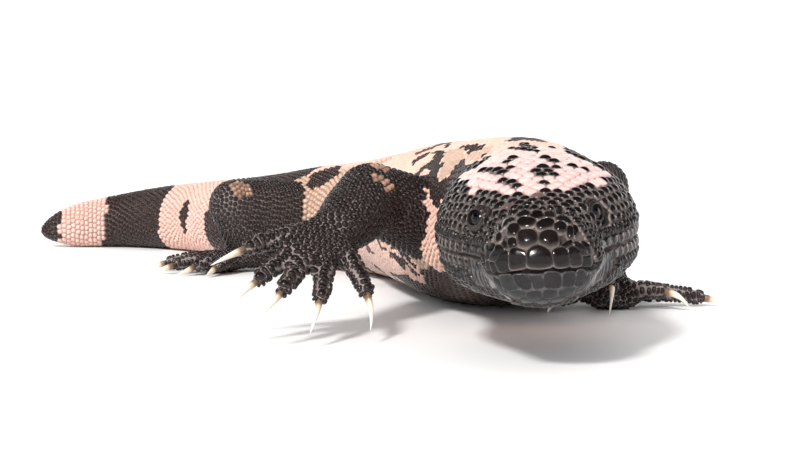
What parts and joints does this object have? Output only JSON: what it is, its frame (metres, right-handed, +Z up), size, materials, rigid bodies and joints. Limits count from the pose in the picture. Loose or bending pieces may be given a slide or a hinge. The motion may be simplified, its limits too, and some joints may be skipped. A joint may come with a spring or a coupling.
{
  "type": "gila monster",
  "caption": "Still life-size model of a gila monster walking low on its belly with the right forefoot lifted and spread.",
  "frame": {"origin": "on the floor, in the middle of the flat that the belly rests on", "axes": "-Y the way the head points, +Y towards the tail, +X to the animal's left at the shoulders, +Z up from the floor"},
  "size_m": [0.245, 0.3613, 0.0507],
  "materials": {
    "black_skin": "glossy beaded scales, black",
    "pink_skin": "satin beaded scales, pink and peach with black bands",
    "claw_horn": "ivory horn",
    "eye": "wet gloss, nearly black"
  },
  "bodies": {
    "root": {"head": "black_skin", "lower_jaw": "black_skin", "neck": "pink_skin", "torso": "pink_skin", "tail": "black_skin", "eye_left": "eye", "eye_right": "eye", "fore_right_upper_leg": "black_skin", "fore_right_lower_leg": "black_skin", "fore_right_foot": "black_skin", "fore_right_claw_1": "claw_horn", "fore_right_claw_2": "claw_horn", "fore_right_claw_3": "claw_horn", "fore_right_claw_4": "claw_horn", "fore_right_claw_5": "claw_horn", "fore_left_upper_leg": "black_skin", "fore_left_lower_leg": "black_skin", "fore_left_foot": "black_skin", "fore_left_claw_1": "claw_horn", "fore_left_claw_2": "claw_horn", "fore_left_claw_3": "claw_horn", "fore_left_claw_4": "claw_horn", "fore_left_claw_5": "claw_horn", "hind_right_upper_leg": "black_skin", "hind_right_lower_leg": "black_skin", "hind_right_foot": "black_skin", "hind_right_claw_1": "claw_horn", "hind_right_claw_2": "claw_horn", "hind_right_claw_3": "claw_horn", "hind_right_claw_4": "claw_horn", "hind_right_claw_5": "claw_horn", "hind_left_upper_leg": "black_skin", "hind_left_lower_leg": "black_skin", "hind_left_foot": "black_skin", "hind_left_claw_1": "claw_horn", "hind_left_claw_2": "claw_horn", "hind_left_claw_3": "claw_horn", "hind_left_claw_4": "claw_horn", "hind_left_claw_5": "claw_horn"}
  },
  "joints": []
}
